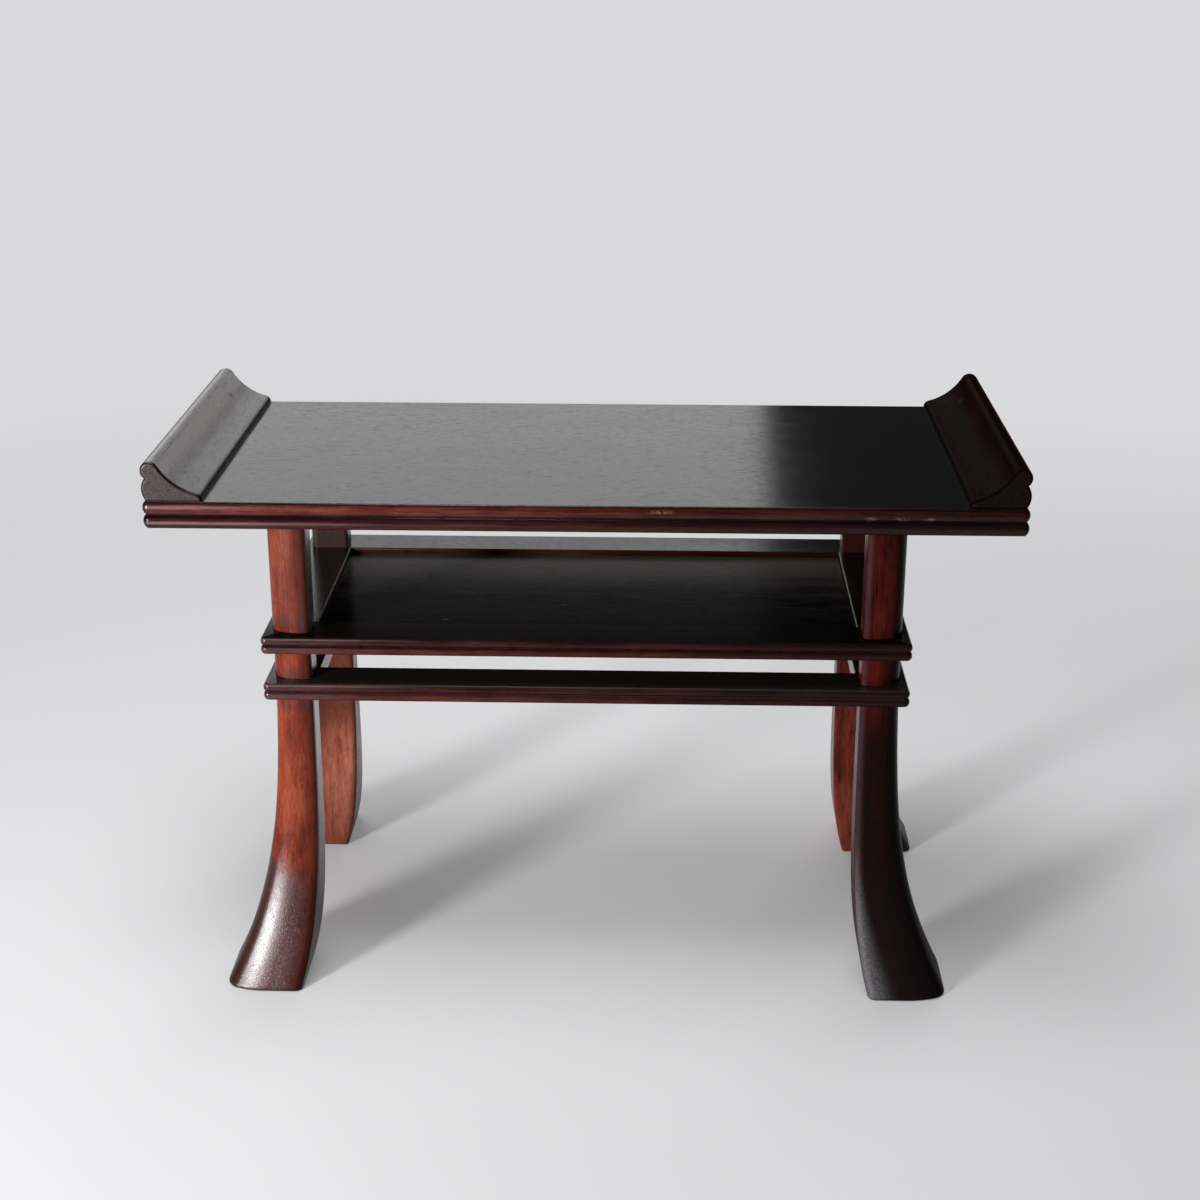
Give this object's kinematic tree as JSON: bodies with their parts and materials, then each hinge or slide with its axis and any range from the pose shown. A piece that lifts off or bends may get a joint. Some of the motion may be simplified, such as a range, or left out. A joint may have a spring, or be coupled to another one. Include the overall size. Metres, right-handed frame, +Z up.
{
  "type": "display stand",
  "caption": "Low polished rosewood display table with everted scroll ends, reeded edges, a recessed shelf, an open stretcher frame and outward-swept sabre legs.",
  "frame": {"origin": "on the floor, under the centre of the plank", "axes": "+X along the plank to its right end, +Y from the front to the back, +Z up"},
  "size_m": [0.6, 0.2928, 0.3995],
  "materials": {
    "plank_wood": "polished dark red-brown rosewood",
    "leg_wood": "polished orange-red to purple-brown rosewood with dark streaks",
    "rail_wood": "polished purple-brown rosewood",
    "panel_wood": "polished near-black rosewood",
    "joinery_wood": "bare rosewood, hidden"
  },
  "bodies": {
    "root": {"top_board": "plank_wood", "left_scroll_end": "plank_wood", "right_scroll_end": "plank_wood", "left_scroll_dowels": "joinery_wood", "right_scroll_dowels": "joinery_wood", "front_left_leg": "leg_wood", "front_right_leg": "leg_wood", "rear_left_leg": "leg_wood", "rear_right_leg": "leg_wood", "front_left_leg_wedges": "joinery_wood", "front_right_leg_wedges": "joinery_wood", "rear_left_leg_wedges": "joinery_wood", "rear_right_leg_wedges": "joinery_wood", "shelf_front_rail": "rail_wood", "shelf_rear_rail": "rail_wood", "shelf_left_rail": "rail_wood", "shelf_right_rail": "rail_wood", "shelf_panel": "panel_wood", "lower_front_rail": "rail_wood", "lower_rear_rail": "rail_wood", "lower_left_rail": "rail_wood", "lower_right_rail": "rail_wood"}
  },
  "joints": []
}
